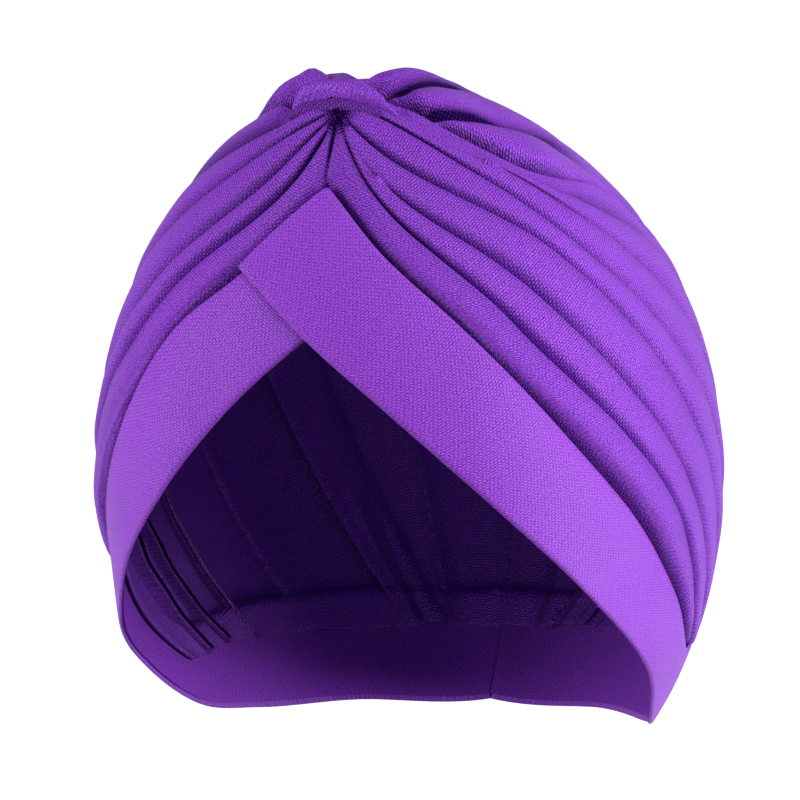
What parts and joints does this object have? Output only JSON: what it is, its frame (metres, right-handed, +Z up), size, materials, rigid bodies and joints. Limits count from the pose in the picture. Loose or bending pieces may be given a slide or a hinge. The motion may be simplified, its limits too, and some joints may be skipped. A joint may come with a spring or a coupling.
{
  "type": "turban",
  "caption": "Slip-on turban of pleated stretch jersey, with a crossed brow band, side pleats drawn to a knot at the front and a soft crown.",
  "frame": {"origin": "inner face of the crown at its middle crease, where the top of the wearer's head bears", "axes": "+Z up, -Y the way the wearer faces, +X towards the wearer's left ear"},
  "size_m": [0.1746, 0.1983, 0.1882],
  "materials": {
    "pleated_jersey": "soft matt knitted jersey",
    "folded_jersey": "soft matt knitted jersey, folded double"
  },
  "bodies": {
    "root": {"brow_band_left": "folded_jersey", "brow_band_right": "folded_jersey", "side_pleats_left": "pleated_jersey", "side_pleats_right": "pleated_jersey", "crown_cloth": "pleated_jersey", "knot_strap": "pleated_jersey"}
  },
  "joints": []
}
